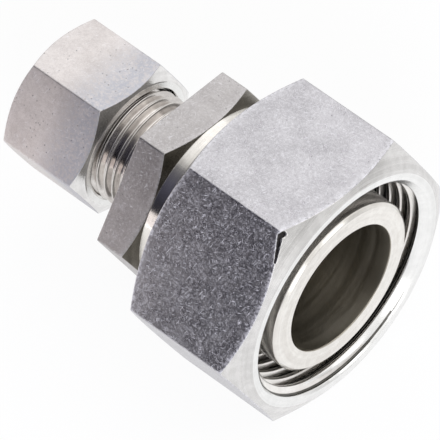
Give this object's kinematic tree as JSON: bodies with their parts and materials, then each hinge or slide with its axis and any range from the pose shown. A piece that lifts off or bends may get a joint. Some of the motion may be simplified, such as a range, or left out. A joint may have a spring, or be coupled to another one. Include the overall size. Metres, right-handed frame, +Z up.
{
  "type": "straight reducing compression fitting",
  "caption": "Straight reducing tube fitting: a turned body with a plain tube stub at one end and a threaded 24 degree cone at the other, each with a cutting ring and a hexagonal union nut.",
  "frame": {"origin": "centre of the end face of the tube stub, on the axis of the fitting", "axes": "+X along the axis and out of the tube stub, +Z up and square to one flat of all three hexagons, as the fitting lies on a flat of the large nut"},
  "size_m": [0.056, 0.0474, 0.041],
  "materials": {
    "body_steel": "turned stainless steel",
    "nut_steel": "drawn stainless steel bar with turned ends",
    "ring_steel": "hardened stainless steel"
  },
  "bodies": {
    "fitting_body": {"reducer_body": "body_steel"},
    "small_ring": {"small_cutting_ring": "ring_steel"},
    "small_nut": {"small_union_nut": "nut_steel"},
    "large_ring": {"large_cutting_ring": "ring_steel"},
    "large_nut": {"large_union_nut": "nut_steel"}
  },
  "joints": [
    {"name": "small_nut_travel", "type": "slide", "parent": "fitting_body", "child": "small_ring", "axis": [1, 0, 0], "range_m": [-0.00337, 0.00038]},
    {"name": "small_nut_turn", "type": "hinge", "parent": "small_ring", "child": "small_nut", "pos_m": [-0.0476, 0, 0], "axis": [1, 0, 0], "range_deg": [-810, 90]},
    {"name": "large_nut_travel", "type": "slide", "parent": "fitting_body", "child": "large_ring", "axis": [1, 0, 0], "range_m": [-0.0014, 0.006]},
    {"name": "large_nut_turn", "type": "hinge", "parent": "large_ring", "child": "large_nut", "pos_m": [-0.01, 0, 0], "axis": [1, 0, 0], "continuous": true}
  ],
  "couplings": [
    {"joint": "small_nut_turn", "follows": "small_nut_travel", "rad_per_m": 4188.8}
  ]
}
